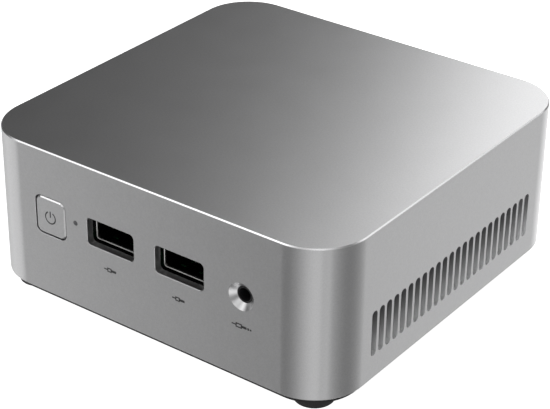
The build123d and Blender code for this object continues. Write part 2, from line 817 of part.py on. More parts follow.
with BuildPart() as blower_stator:
    with BuildSketch(Plane.XY.offset(blower_floor_z + 0.4)):
        with Locations(blower_at):
            Circle(stator_radius)
            with PolarLocations(stator_radius - 1.4, 9):
                SlotOverall(3.4, 1.1, mode=Mode.SUBTRACT)
            Circle(bearing_radius, mode=Mode.SUBTRACT)
    extrude(amount=bearing_top_z - blower_floor_z - 1.0)
save(blower_stator, "blower_stator")

with BuildSketch() as blade:
    with BuildLine():
        ThreePointArc((hub_radius - hub_wall / 2, 0), (16.0, 1.6), (rotor_radius - 0.9, 5.4))
    trace(line_width=blade_thickness)

with BuildPart() as blower_rotor:
    with BuildSketch(Plane.XY.offset(rotor_z)):
        with Locations(blower_at):
            Circle(hub_radius)
            Circle(hub_inner_radius, mode=Mode.SUBTRACT)
            Circle(shaft_radius)
    extrude(amount=hub_disc_z - rotor_z)
    with BuildSketch(Plane.XY.offset(hub_disc_z)):
        with Locations(blower_at):
            Circle(hub_radius)
    extrude(amount=hub_wall)
    fillet(blower_rotor.edges().group_by(Axis.Z)[-1], 0.4)
    # Swept-back blades on a thin ring under their tips
    with BuildSketch(Plane.XY.offset(rotor_z)):
        with Locations(blower_at):
            with PolarLocations(0, rotor_blades):
                add(blade.sketch)
    extrude(amount=rotor_top_z - hub_wall - rotor_z)
    with BuildSketch(Plane.XY.offset(rotor_z)):
        with Locations(blower_at):
            Circle(rotor_radius)
            Circle(rotor_radius - 5, mode=Mode.SUBTRACT)
    extrude(amount=0.6)
save(blower_rotor, "blower_rotor")

with BuildPart() as blower_magnet:
    with BuildSketch(Plane.XY.offset(rotor_z)):
        with Locations(blower_at):
            Circle(hub_inner_radius)
            Circle(hub_inner_radius - magnet_thickness, mode=Mode.SUBTRACT)
    extrude(amount=hub_disc_z - rotor_z)
save(blower_magnet, "blower_magnet")

with BuildPart() as blower_pillars:
    with BuildSketch(Plane.XY.offset(board_z)):
        with Locations(*lug_points):
            Circle(pillar_diameter / 2)
            Circle(lug_screw / 2 + thread_clearance, mode=Mode.SUBTRACT)
    extrude(amount=blower_z - board_z)
save(blower_pillars, "blower_pillars")

with BuildPart() as blower_screws:
    with Locations(*[(x, y, lug_z) for x, y in lug_points]):
        Cylinder(lug_screw * 0.9, 1.3, align=BASE)
        Cylinder(lug_screw / 2, blower_floor + 5.0, align=HANG)
    chamfer(blower_screws.edges().group_by(Axis.Z)[-1], 0.3)
save(blower_screws, "blower_screws")

header_top_z = board_z + header_size[2]
lead_out = blower_inner_radius + blower_wall
lead_start = (
    blower_at[0] + lead_out * cos(radians(-45)),
    blower_at[1] + lead_out * sin(radians(-45)),
    blower_floor_z + 0.6,
)
with BuildPart() as blower_lead:
    with BuildLine() as lead_route:
        FilletPolyline(
            lead_start,
            (lead_start[0] + 4.0, lead_start[1] - 4.0, lead_start[2]),
            (*header_at, header_top_z + 4.5),
            (*header_at, header_top_z),
            radius=2.2,
        )
    with BuildSketch(Plane(origin=lead_start, z_dir=lead_route.line % 0)):
        Circle(lead_diameter / 2)
    sweep()
save(blower_lead, "blower_lead")

with BuildPart() as blower_header:
    with Locations((*header_at, board_z)):
        Box(*header_size, align=BASE)
    chamfer(blower_header.faces().sort_by(Axis.Z)[-1].edges(), 0.3)
save(blower_header, "blower_header")

# Memory, cards and clock cell -------------------------------------------------------
module_top_z = board_under_z - module_drop
memory_y = (memory_front_y, memory_rear_y)
with BuildPart() as memory_sockets:
    for y in memory_y:
        with Locations((0, y + module_in_socket - memory_socket_depth / 2, board_under_z)):
            Box(memory_size[0] + 3.0, memory_socket_depth, memory_socket_height, align=HANG)
        with Locations((0, y - slot_clearance, module_top_z + slot_clearance)):
            Box(
                memory_size[0] + 2 * slot_clearance,
                memory_size[1],
                memory_size[2] + 2 * slot_clearance,
                align=(Align.CENTER, Align.MIN, Align.MAX),
                mode=Mode.SUBTRACT,
            )
save(memory_sockets, "memory_sockets")

for y, name in zip(memory_y, ("front", "rear")):
    with BuildPart() as memory_module:
        with Locations((0, y, module_top_z)):
            Box(*memory_size, align=(Align.CENTER, Align.MIN, Align.MAX))
        with Locations((0, y + memory_size[1] * 0.55, module_top_z - memory_size[2])):
            with GridLocations(15.5, 0, 4, 1):
                Box(*memory_chip, align=HANG)
    save(memory_module, f"memory_module_{name}")

with BuildPart() as card_sockets:
    with Locations((ssd_x, nut_y, board_under_z)):
        Box(card_socket_depth, ssd_size[1], card_socket_height, align=HANG)
    with Locations((ssd_x, nut_y, ssd_z + slot_clearance)):
        Box(
            card_socket_depth,
            ssd_size[1] - 2.0,
            ssd_size[2] + 2 * slot_clearance,
            align=(Align.MIN, Align.CENTER, Align.MAX),
            mode=Mode.SUBTRACT,
        )
    with Locations((wifi_x + wifi_size[0] / 2, wifi_y, board_z)):
        Box(wifi_size[0], card_socket_depth, card_socket_height, align=BASE)
    with Locations((wifi_x + wifi_size[0] / 2, wifi_y, wifi_z - slot_clearance)):
        Box(
            wifi_size[0] - 2.0,
            card_socket_depth,
            wifi_size[2] + 2 * slot_clearance,
            align=(Align.CENTER, Align.MIN, Align.MIN),
            mode=Mode.SUBTRACT,
        )
save(card_sockets, "card_sockets")

ssd_end = (ssd_x + slot_clearance + ssd_size[0], nut_y)
wifi_end = (wifi_x + wifi_size[0] / 2, wifi_y + slot_clearance + wifi_size[1])
with BuildPart() as ssd_module:
    with BuildSketch(Plane.XY.offset(ssd_z)):
        with Locations((ssd_x + slot_clearance, nut_y)):
            Rectangle(
                card_socket_depth / 2 + 1, ssd_size[1] - 2.4, align=(Align.MIN, Align.CENTER)
            )
        with Locations(ssd_end):
            Rectangle(
                ssd_size[0] - card_socket_depth / 2 - slot_clearance,
                ssd_size[1],
                align=(Align.MAX, Align.CENTER),
            )
            Circle(card_screw / 2 + through_clearance, mode=Mode.SUBTRACT)
    extrude(amount=-ssd_size[2])
    with Locations((ssd_x + ssd_size[0] / 2, nut_y, ssd_z - ssd_size[2])):
        with GridLocations(20.0, 0, 3, 1):
            Box(*ssd_chip, align=HANG)
save(ssd_module, "ssd_module")

with BuildPart() as wifi_card:
    with BuildSketch(Plane.XY.offset(wifi_z)):
        with Locations((wifi_end[0], wifi_y + slot_clearance)):
            Rectangle(
                wifi_size[0] - 2.4, card_socket_depth / 2 + 1, align=(Align.CENTER, Align.MIN)
            )
        with Locations(wifi_end):
            Rectangle(
                wifi_size[0],
                wifi_size[1] - card_socket_depth / 2 - slot_clearance,
                align=(Align.CENTER, Align.MAX),
            )
            Circle(card_screw / 2 + through_clearance, mode=Mode.SUBTRACT)
    extrude(amount=wifi_size[2])
    with Locations((wifi_end[0], wifi_y + wifi_size[1] * 0.55, wifi_z + wifi_size[2])):
        Box(*wifi_shield, align=BASE)
save(wifi_card, "wifi_card")

with BuildPart() as card_nuts:
    with Locations((*ssd_end, board_under_z)):
        Cylinder(card_nut / 2, ssd_drop, align=HANG)
    with Locations((*wifi_end, board_z)):
        Cylinder(card_nut / 2, wifi_rise, align=BASE)
    with Locations((*ssd_end, board_under_z), (*wifi_end, board_z)):
        Cylinder(card_screw / 2 + thread_clearance, 2 * ssd_drop, mode=Mode.SUBTRACT)
save(card_nuts, "card_nuts")

with BuildPart() as card_screws:
    with Locations((*ssd_end, ssd_z - ssd_size[2])):
        Cylinder(card_screw, 1.0, align=HANG)
        Cylinder(card_screw / 2, ssd_size[2] + ssd_drop * 0.8, align=BASE)
    with Locations((*wifi_end, wifi_z + wifi_size[2])):
        Cylinder(card_screw, 1.0, align=BASE)
        Cylinder(card_screw / 2, wifi_size[2] + wifi_rise * 0.8, align=HANG)
save(card_screws, "card_screws")

coin_seat_z = board_z + 1.0
with BuildPart() as coin_cell_holder:
    with BuildSketch(Plane.XY.offset(board_z)):
        with Locations(coin_at):
            Circle(coin_diameter / 2 + coin_clearance + coin_wall)
    extrude(amount=1.0 + coin_thickness)
    with BuildSketch(Plane.XY.offset(coin_seat_z)):
        with Locations(coin_at):
            Circle(coin_diameter / 2 + coin_clearance)
    extrude(amount=coin_thickness, mode=Mode.SUBTRACT)
    with Locations((coin_at[0], coin_at[1] + coin_diameter / 2, coin_seat_z)):
        Box(9.0, 6.0, coin_thickness, align=BASE, mode=Mode.SUBTRACT)
save(coin_cell_holder, "coin_cell_holder")

with BuildPart() as coin_cell:
    with Locations((*coin_at, coin_seat_z)):
        Cylinder(coin_diameter / 2, coin_thickness, align=BASE)
    chamfer(coin_cell.edges().group_by(Axis.Z)[-1], 0.5)
save(coin_cell, "coin_cell")

# Rear sockets -----------------------------------------------------------------------
with BuildPart() as dc_jack:
    with BuildSketch(facing_front(rear_wall_y)):
        with Locations((dc_x, board_z + dc_body[1] / 2)):
            Rectangle(*dc_body)
    extrude(amount=dc_length - wall)
    with BuildSketch(facing_front(socket_face_y)):
        with Locations((dc_x, dc_z)):
            Circle(dc_nose_diameter / 2)
    extrude(amount=wall)
    with BuildSketch(facing_front(socket_face_y)):
        with Locations((dc_x, dc_z)):
            Circle(dc_bore / 2)
    extrude(amount=dc_bore_length, mode=Mode.SUBTRACT)
save(dc_jack, "dc_jack")

with BuildPart() as dc_jack_pin:
    with BuildSketch(facing_front(socket_face_y - dc_bore_length)):
        with Locations((dc_x, dc_z)):
            Circle(dc_pin_diameter / 2)
    extrude(amount=-(dc_bore_length - 1.0))
    fillet(dc_jack_pin.faces().sort_by(Axis.Y)[-1].edges(), 0.5)
save(dc_jack_pin, "dc_jack_pin")

def hdmi_outline(x, inset):
    """The socket's outline with its two cut lower corners, drawn in by inset."""
    half_width = hdmi_outside[0] / 2 - inset
    top = hdmi_outside[1] / 2 - inset
    shoulder_z = hdmi_z + top - hdmi_outside[1] / 2
    with BuildSketch(facing_front(socket_face_y)) as outline:
        with BuildLine():
            Polyline(
                (x - half_width, hdmi_z + top),
                (x + half_width, hdmi_z + top),
                (x + half_width, shoulder_z),
                (x + half_width - hdmi_step, hdmi_z - top),
                (x - half_width + hdmi_step, hdmi_z - top),
                (x - half_width, shoulder_z),
                close=True,
            )
        make_face()
    return outline.sketch


with BuildPart() as hdmi_shells:
    for x in hdmi_x:
        extrude(hdmi_outline(x, 0), amount=hdmi_length)
        extrude(hdmi_outline(x, hdmi_sheet), amount=hdmi_length - 1, mode=Mode.SUBTRACT)
save(hdmi_shells, "hdmi_shells")

with BuildPart() as hdmi_tongues:
    with BuildSketch(facing_front(socket_face_y - hdmi_length + 1)):
        with Locations(*[(x, hdmi_z + 0.3) for x in hdmi_x]):
            Rectangle(*hdmi_tongue)
    extrude(amount=-(hdmi_length - 2.5))
save(hdmi_tongues, "hdmi_tongues")

lan_cavity_z = board_z + 2.0 + lan_key[1] + lan_cavity[1] / 2
with BuildPart() as lan_jack:
    with BuildSketch(facing_front(socket_face_y)):
        with Locations((lan_x, lan_z)):
            Rectangle(*lan_body)
    extrude(amount=lan_length)
    with BuildSketch(facing_front(socket_face_y)):
        with Locations((lan_x, lan_cavity_z)):
            Rectangle(*lan_cavity)
        with Locations((lan_x, lan_cavity_z - lan_cavity[1] / 2)):
            Rectangle(*lan_key, align=(Align.CENTER, Align.MAX))
    extrude(amount=lan_cavity_length, mode=Mode.SUBTRACT)
save(lan_jack, "lan_jack")

with BuildPart() as lan_contacts_row:
    with BuildSketch(facing_right(lan_x)):
        with BuildLine():
            Polyline(
                (socket_face_y - lan_cavity_length, lan_cavity_z + lan_cavity[1] / 2 - 2.4),
                (socket_face_y - 3.0, lan_cavity_z + lan_cavity[1] / 2 - 0.2),
                (socket_face_y - 3.0, lan_cavity_z + lan_cavity[1] / 2 - 0.5),
                (socket_face_y - lan_cavity_length, lan_cavity_z + lan_cavity[1] / 2 - 2.7),
                close=True,
            )
        make_face()
    extrude(amount=0.2, both=True)
    contact = lan_contacts_row.part
    offsets = [(i - (lan_contacts - 1) / 2) * lan_contact_pitch for i in range(lan_contacts)]
with BuildPart() as lan_contacts_part:
    with Locations(*[(dx, 0, 0) for dx in offsets]):
        add(contact)
save(lan_contacts_part, "lan_contacts")

rear_usb_levels = (rear_usb_z - rear_usb_pitch / 2, rear_usb_z + rear_usb_pitch / 2)
with BuildPart() as rear_usb_shell:
    with BuildSketch(facing_front(socket_face_y)):
        with Locations((rear_usb_x, rear_usb_z)):
            Rectangle(*rear_usb_body)
        with Locations(*[(rear_usb_x, z) for z in rear_usb_levels]):
            Rectangle(*usb_inside, mode=Mode.SUBTRACT)
    extrude(amount=usb_length)
save(rear_usb_shell, "rear_usb_shell")

with BuildPart() as rear_usb_insulators:
    with BuildSketch(facing_front(socket_face_y - usb_length)):
        with Locations(*[(rear_usb_x, z) for z in rear_usb_levels]):
            Rectangle(usb_inside[0] - 2 * slot_clearance, usb_inside[1] - 2 * slot_clearance)
    extrude(amount=-(usb_length - usb_tongue_length - 2.0))
    tongue_rise = usb_inside[1] / 2 - usb_tongue_from_roof - usb_tongue[1] / 2
    with BuildSketch(facing_front(socket_face_y - usb_length + 1.0)):
        with Locations(*[(rear_usb_x, z + tongue_rise) for z in rear_usb_levels]):
            Rectangle(*usb_tongue)
    extrude(amount=-(usb_length - 2.5))
save(rear_usb_insulators, "rear_usb_insulators")
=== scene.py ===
"""A small desktop computer in a blasted aluminium shell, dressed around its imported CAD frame.

The frame already holds every part at its real size and place. This script gives each part its
finish, lays smooth skins over the curved parts that show, prints the marks on the front and sets
up a plain studio.
"""

import logging
import math
from dataclasses import dataclass, field
from enum import Enum
from typing import Union

import bmesh
import bpy
from mathutils import Matrix, Vector


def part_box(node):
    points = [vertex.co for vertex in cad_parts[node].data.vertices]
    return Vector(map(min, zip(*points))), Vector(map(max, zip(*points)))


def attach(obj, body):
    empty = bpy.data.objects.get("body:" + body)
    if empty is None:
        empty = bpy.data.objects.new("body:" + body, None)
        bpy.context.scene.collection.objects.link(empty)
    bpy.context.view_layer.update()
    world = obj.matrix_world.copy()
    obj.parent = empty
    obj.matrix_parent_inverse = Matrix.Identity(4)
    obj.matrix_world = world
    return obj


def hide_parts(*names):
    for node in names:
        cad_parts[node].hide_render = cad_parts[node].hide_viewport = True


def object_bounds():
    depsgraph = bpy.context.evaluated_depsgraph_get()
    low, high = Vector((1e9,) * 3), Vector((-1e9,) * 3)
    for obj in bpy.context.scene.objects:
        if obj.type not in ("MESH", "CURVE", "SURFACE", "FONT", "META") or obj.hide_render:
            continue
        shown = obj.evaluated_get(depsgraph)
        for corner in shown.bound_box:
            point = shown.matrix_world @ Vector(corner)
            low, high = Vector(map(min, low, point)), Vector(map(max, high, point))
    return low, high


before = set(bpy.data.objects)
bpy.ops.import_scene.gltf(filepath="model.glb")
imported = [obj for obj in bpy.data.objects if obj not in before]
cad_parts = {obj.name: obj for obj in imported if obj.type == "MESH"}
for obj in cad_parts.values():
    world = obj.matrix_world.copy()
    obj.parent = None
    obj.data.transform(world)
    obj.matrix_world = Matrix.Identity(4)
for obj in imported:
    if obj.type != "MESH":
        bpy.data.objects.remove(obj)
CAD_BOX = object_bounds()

LOG = logging.getLogger("mini_computer")
MM = 0.001
Colour = tuple[float, float, float]
Value = Union[float, "Wire"]


# ---------------------------------------------------------------- shader arithmetic


class Wire:
    """One output of a shader node, with the operators of ordinary arithmetic."""

    def __init__(self, net: "Net", socket: bpy.types.NodeSocket) -> None:
        """Wraps a socket.

        Args:
            net: the node tree that the socket belongs to.
            socket: the output that this wire carries.
        """
        self.net = net
        self.socket = socket

    def math(self, operation: str, *others: Value, swapped: bool = False) -> "Wire":
        """Adds a Math node that takes this wire.

        Args:
            operation: the Math node's operation.
            others: the other operands, wires or plain numbers.
            swapped: True puts this wire second.

        Returns:
            The node's result.
        """
        operands: list[Value] = [self, *others]
        if swapped:
            operands.reverse()
        inputs = dict(enumerate(operands))
        return self.net.add("ShaderNodeMath", {"operation": operation}, inputs)

    def __add__(self, other: Value) -> "Wire":
        """This plus another value."""
        return self.math("ADD", other)

    __radd__ = __add__

    def __mul__(self, other: Value) -> "Wire":
        """This times another value."""
        return self.math("MULTIPLY", other)

    __rmul__ = __mul__

    def __sub__(self, other: Value) -> "Wire":
        """This less another value."""
        return self.math("SUBTRACT", other)

    def __rsub__(self, other: Value) -> "Wire":
        """Another value less this."""
        return self.math("SUBTRACT", other, swapped=True)

    def __truediv__(self, other: Value) -> "Wire":
        """This over another value."""
        return self.math("DIVIDE", other)

    def __abs__(self) -> "Wire":
        """This without its sign."""
        return self.math("ABSOLUTE")

    def fade(self, low: float, high: float) -> "Wire":
        """A smooth step from 0 where this is low to 1 where it is high.

        Args:
            low: the value that gives 0.
            high: the value that gives 1, which may be below low.

        Returns:
            The step, between 0 and 1.
        """
        settings = {"interpolation_type": "SMOOTHSTEP"}
        if low > high:
            return 1.0 - self.fade(high, low)
        inputs = {"Value": self, "From Min": low, "From Max": high}
        return self.net.add("ShaderNodeMapRange", settings, inputs)


class Net:
    """A node tree that is filled through one method."""

    def __init__(self, tree: bpy.types.NodeTree) -> None:
        """Empties a node tree and takes it over.

        Args:
            tree: the tree of a material or a world.
        """
        self.tree = tree
        tree.nodes.clear()

    def add(
        self,
        kind: str,
        settings: dict | None = None,
        inputs: dict | None = None,
        output: int | str = 0,
    ) -> Wire:
        """Adds a node.

        Args:
            kind: the node's type.
            settings: its properties, set before its sockets.
            inputs: values or wires by socket name or number.
            output: the socket that is handed back.

        Returns:
            The chosen output as a wire.
        """
        node = self.tree.nodes.new(kind)
        for key, value in (settings or {}).items():
            setattr(node, key, value)
        for key, value in (inputs or {}).items():
            if isinstance(value, Wire):
                self.tree.links.new(value.socket, node.inputs[key])
            elif isinstance(value, tuple) and len(value) == 3:
                wanted = len(node.inputs[key].default_value)
                node.inputs[key].default_value = (*value, 1.0)[:wanted]
            else:
                node.inputs[key].default_value = value
        return Wire(self, node.outputs[output] if node.outputs else None)

    def place(self) -> Wire:
        """The place on the object, in metres."""
        return self.add("ShaderNodeTexCoord", output="Object")

    def axes(self, vector: Wire) -> tuple[Wire, Wire, Wire]:
        """A vector's three numbers.

        Args:
            vector: the vector.

        Returns:
            Its x, y and z.
        """
        split = self.add("ShaderNodeSeparateXYZ", inputs={0: vector})
        outputs = split.socket.node.outputs
        return Wire(self, outputs[0]), Wire(self, outputs[1]), Wire(self, outputs[2])

    def noise(self, pitch: float, detail: float = 2.0, at: Wire | None = None) -> Wire:
        """Random mottling.

        Args:
            pitch: the size of one mottle, in metres.
            detail: how many finer layers it has.
            at: the coordinate, where it isn't the plain place.

        Returns:
            The mottling, about 0.5 and mostly between 0.3 and 0.7.
        """
        inputs = {"Vector": at or self.place(), "Scale": 1.0 / pitch, "Detail": detail}
        return self.add("ShaderNodeTexNoise", inputs=inputs)

    def stretched(self, scale: Colour) -> Wire:
        """The place on the object with each axis scaled.

        Args:
            scale: the factors of x, y and z.

        Returns:
            The scaled coordinate.
        """
        return self.add("ShaderNodeMapping", inputs={"Vector": self.place(), "Scale": scale})

    def blend(self, factor: Value, first: Colour | Wire, second: Colour | Wire) -> Wire:
        """A blend of two colours.

        Args:
            factor: 0 for the first and 1 for the second.
            first: a colour.
            second: another colour.

        Returns:
            The blended colour.
        """
        inputs = {0: factor, 6: first, 7: second}
        return self.add("ShaderNodeMix", {"data_type": "RGBA"}, inputs, output=2)

    def relief(self, height: Wire, depth: float) -> Wire:
        """A bumped normal.

        Args:
            height: the relief, between 0 and 1.
            depth: how deep a full step is, in metres.

        Returns:
            The normal.
        """
        inputs = {"Height": height, "Distance": depth, "Strength": 1.0}
        return self.add("ShaderNodeBump", inputs=inputs)


def tinted(colour: Colour, factor: float) -> Colour:
    """A colour made lighter or darker.

    Args:
        colour: the colour.
        factor: what each part of it is multiplied by.

    Returns:
        The new colour.
    """
    return tuple(min(1.0, part * factor) for part in colour)


# ---------------------------------------------------------------- finishes


@dataclass(frozen=True)
class Finish:
    """A moulded or cast surface: one colour that varies a little, with a fine skin texture.

    Attributes:
        name: the finish's name, which is its material's.
        colour: the middle colour.
        roughness: the middle roughness.
        metallic: 1 for bare metal.
        grain: the size of one mark of the skin, in metres.
        depth: how deep a mark is, in metres.
        tone: how far the colour varies, as a share.
    """

    name: str
    colour: Colour
    roughness: float
    metallic: float = 0.0
    grain: float = 0.25 * MM
    depth: float = 0.01 * MM
    tone: float = 0.08

    def sockets(self, net: Net) -> dict:
        """The shader's inputs.

        Args:
            net: the material's tree.

        Returns:
            Values and wires by the shader's socket names.
        """
        skin = net.noise(self.grain, 3.0)
        cloud = net.noise(40 * self.grain, 2.0)
        low, high = tinted(self.colour, 1 - self.tone), tinted(self.colour, 1 + self.tone)
        return {
            "Base Color": net.blend((skin + cloud) * 0.5, low, high),
            "Roughness": self.roughness + (skin - 0.5) * 0.2,
            "Metallic": self.metallic,
            "Normal": net.relief(skin, self.depth),
        }

    def material(self) -> bpy.types.Material:
        """The finished material, made once and then shared."""
        found = bpy.data.materials.get(f"{self.name}_finish")
        if found:
            return found
        made = bpy.data.materials.new(f"{self.name}_finish")
        made.use_nodes = True
        net = Net(made.node_tree)
        shader = net.add("ShaderNodeBsdfPrincipled", inputs=self.sockets(net))
        net.add("ShaderNodeOutputMaterial", inputs={"Surface": shader})
        return made


@dataclass(frozen=True)
class BlastedAluminium(Finish):
    """Glass-bead blasted and anodised aluminium, with turned chamfers left bright and painted shade
    and light down the air slots.

    Attributes:
        bright: the colour of a bright chamfer.
        bright_roughness: the roughness of a bright chamfer.
        top: the height above which a slanting face is a bright chamfer, in metres.
        cut_roughness: the roughness of the sides of the air slots.
        skin: how far the side walls stand from the middle, in metres.
        slot_reach: how far the row of slots reaches before and behind the middle, in metres.
        ring: the middle of the dished ring's inner edge.
        ring_radius: the dished ring's outer radius, in metres, or 0 for none.
        dish_colour: the colour of the dished ring.
        dish_roughness: the roughness of the dished ring.
        slot_band: the heights of the air slots' lower and upper ends, in metres.
        slot_shade_tones: the colours of a slot's sides at its upper and lower ends, painted shade at
            the upper end and bare cut metal with painted light at the lower end.
    """

    bright: Colour = (0.93, 0.93, 0.94)
    bright_roughness: float = 0.22
    top: float = 0.0
    cut_roughness: float = 0.8
    skin: float = 55.7 * MM
    slot_reach: float = 41.5 * MM
    ring: Colour = (0.0, 0.0, 0.0)
    ring_radius: float = 0.0
    dish_colour: Colour = (0.8, 0.8, 0.805)
    dish_roughness: float = 0.3
    slot_band: tuple[float, float] = (10.9 * MM, 23.8 * MM)
    # The dark upper tone is painted shade; the light lower tone is bare cut metal with painted light.
    slot_shade_tones: tuple[Colour, Colour] = ((0.32, 0.32, 0.325), (0.95, 0.95, 0.955))

    def sockets(self, net: Net) -> dict:
        """The shader's inputs: grain and clouds, bright chamfers, the dish and the slots with their
        painted shade and light.
        """
        fine = net.noise(self.grain, 2.0)
        coarse = net.noise(self.grain * 3.2, 1.0)
        cloud = net.noise(60 * self.grain, 2.0)
        grain = (fine * 0.7 + coarse * 0.3).fade(0.3, 0.7)
        low, high = tinted(self.colour, 1 - self.tone), tinted(self.colour, 1 + self.tone)
        satin = net.blend(grain * 0.8 + cloud * 0.2, low, high)
        turned = self.chamfer(net)
        dish = self.dish(net)
        slot = self.slot_wall(net)
        plain = net.blend(dish, satin, self.dish_colour)
        rough = self.roughness + (grain - 0.5) * 0.06 + (cloud - 0.5) * 0.02
        rough = rough * (1.0 - slot) + self.cut_roughness * slot
        rough = rough * (1.0 - dish) + self.dish_roughness * dish
        return {
            "Base Color": net.blend(turned, net.blend(slot, plain, self.slot_painted_shade(net)), self.bright),
            "Roughness": rough * (1.0 - turned) + self.bright_roughness * turned,
            "Metallic": self.metallic,
            "Normal": net.relief(grain * (1.0 - turned), self.depth),
        }

    def chamfer(self, net: Net) -> Wire:
        """A mask of the turned chamfers: slanting faces above the set height."""
        facing = net.add("ShaderNodeNewGeometry", output="Normal")
        slope = net.axes(facing)[2]
        height = net.axes(net.place())[2]
        slanting = slope.fade(0.3, 0.5) * slope.fade(0.95, 0.85)
        return slanting * height.fade(self.top - 0.05 * MM, self.top)

    def dish(self, net: Net) -> Wire:
        """A mask of the dished ring round the audio socket."""
        if not self.ring_radius:
            return net.add("ShaderNodeValue")
        x, y, z = net.axes(net.place())
        across, above = x - self.ring[0], z - self.ring[2]
        off = (across * across + above * above).math("SQRT")
        depth = y.fade(self.ring[1] - 0.05 * MM, self.ring[1] + 0.05 * MM)
        inside = off.fade(self.ring_radius + 0.1 * MM, self.ring_radius) * (1.0 - depth)
        facing = net.add("ShaderNodeNewGeometry", output="Normal")
        return inside * abs(net.axes(facing)[1]).fade(0.95, 0.85)

    def slot_painted_shade(self, net: Net) -> Wire:
        """The colour of a slot's sides, with painted shade that darkens it towards its upper end and
        painted light that lightens it towards its lower end.
        """
        low, high = self.slot_band
        # Painted shade and light: darker towards the slot's upper end, lighter towards its lower end.
        shade_upward = net.axes(net.place())[2].fade(high, low)
        return net.blend(shade_upward, *self.slot_shade_tones)

    def slot_wall(self, net: Net) -> Wire:
        """A mask of the sides of the air slots, which the cutter leaves rougher."""
        x, y, z = net.axes(net.place())
        across, along = abs(x), abs(y)
        facing = net.add("ShaderNodeNewGeometry", output="Normal")
        turned = abs(net.axes(facing)[0]).fade(0.98, 0.9)
        through = across.fade(self.skin - 2.4 * MM, self.skin - 2.1 * MM)
        row = along.fade(self.slot_reach, self.slot_reach - 0.5 * MM)
        low, high = self.slot_band
        band = z.fade(low - 0.8 * MM, low - 0.5 * MM) * z.fade(high + 0.8 * MM, high + 0.5 * MM)
        return through * row * band * turned


@dataclass(frozen=True)
class StampedMetal(Finish):
    """Sheet metal with the fine lines that rolling leaves along one axis, and painted shade far
    inside where that is set.

    Attributes:
        along: the axis that the lines run along, 0 for x, 1 for y and 2 for z.
        stain: the colour of the slight tarnish.
        painted_deep_shade: how far in front of or behind the middle the metal gets painted shade, its
            colour darkened almost to black, in metres.
    """

    along: int = 1
    stain: Colour = (0.5, 0.48, 0.45)
    painted_deep_shade: tuple[float, float] | None = None

    def sockets(self, net: Net) -> dict:
        """The shader's inputs: drawn lines, tarnish in clouds, small dents and, where set, painted
        shade far inside.
        """
        scale = [1.0, 1.0, 1.0]
        scale[self.along] = 0.04
        lines = net.noise(self.grain, 2.0, net.stretched(tuple(scale)))
        cloud = net.noise(18 * self.grain, 3.0)
        tarnish = cloud.fade(0.45, 0.75) * 0.35
        low, high = tinted(self.colour, 1 - self.tone), tinted(self.colour, 1 + self.tone)
        plating_and_shade = net.blend(tarnish, net.blend(lines, low, high), self.stain)
        # Painted shade: far inside a socket the colour is darkened almost to black.
        if self.painted_deep_shade:
            depth = abs(net.axes(net.place())[1])
            start, end = self.painted_deep_shade
            inside_shade_mask = depth.fade(start, start + 1 * MM) * depth.fade(end, end - 0.5 * MM)
            plating_and_shade = net.blend(inside_shade_mask, plating_and_shade, tinted(self.colour, 0.04))
        return {
            "Base Color": plating_and_shade,
            "Roughness": self.roughness + (lines - 0.5) * 0.25 + tarnish * 0.2,
            "Metallic": self.metallic,
            "Normal": net.relief(lines, self.depth),
        }


@dataclass(frozen=True)
class CircuitBoard(Finish):
    """Solder mask over copper tracks, with tinned pads and vias.

    Attributes:
        track: the colour of the mask where a track lies under it.
        pad: the colour of tinned copper.
        pitch: the distance between tracks, in metres.
    """

    track: Colour = (0.03, 0.17, 0.07)
    pad: Colour = (0.72, 0.72, 0.7)
    pitch: float = 0.9 * MM

    def sockets(self, net: Net) -> dict:
        """The shader's inputs: bent tracks, vias and the mask's gloss."""
        cells = {"Scale": 1.0 / (7 * self.pitch), "Vector": net.place()}
        patch = net.add("ShaderNodeTexVoronoi", {"distance": "MANHATTAN"}, cells, "Color")
        x, y, _ = net.axes(net.place())
        turn = net.axes(patch)[0].fade(0.49, 0.51)
        across = x * turn + y * (1.0 - turn)
        wave = abs((across / self.pitch).math("FRACT") - 0.5)
        tracks = wave.fade(0.3, 0.22) * net.axes(patch)[1].fade(0.35, 0.4)
        holes = {"Scale": 1.0 / (3.1 * self.pitch), "Vector": net.place()}
        dots = net.add("ShaderNodeTexVoronoi", {"feature": "F1"}, holes, "Distance")
        via = dots.fade(0.14, 0.1)
        mask = net.blend(tracks, self.colour, self.track)
        return {
            "Base Color": net.blend(via, mask, self.pad),
            "Roughness": self.roughness + via * 0.1,
            "Metallic": via,
            "Normal": net.relief(tracks + via, 0.03 * MM),
        }


@dataclass(frozen=True)
class Threaded(Finish):
    """A turned brass part with the fine rings of its thread and its turning.

    Attributes:
        pitch: the distance between rings, in metres.
    """

    pitch: float = 0.45 * MM

    def sockets(self, net: Net) -> dict:
        """The shader's inputs: rings up the part over a fine skin."""
        height = net.axes(net.place())[2]
        ring = abs((height / self.pitch).math("FRACT") - 0.5) * 2.0
        skin = net.noise(self.grain, 2.0)
        low, high = tinted(self.colour, 1 - self.tone), tinted(self.colour, 1 + self.tone)
        return {
            "Base Color": net.blend(ring * 0.6 + skin * 0.4, low, high),
            "Roughness": self.roughness + (skin - 0.5) * 0.2,
            "Metallic": self.metallic,
            "Normal": net.relief(ring * 0.7 + skin * 0.3, self.depth),
        }


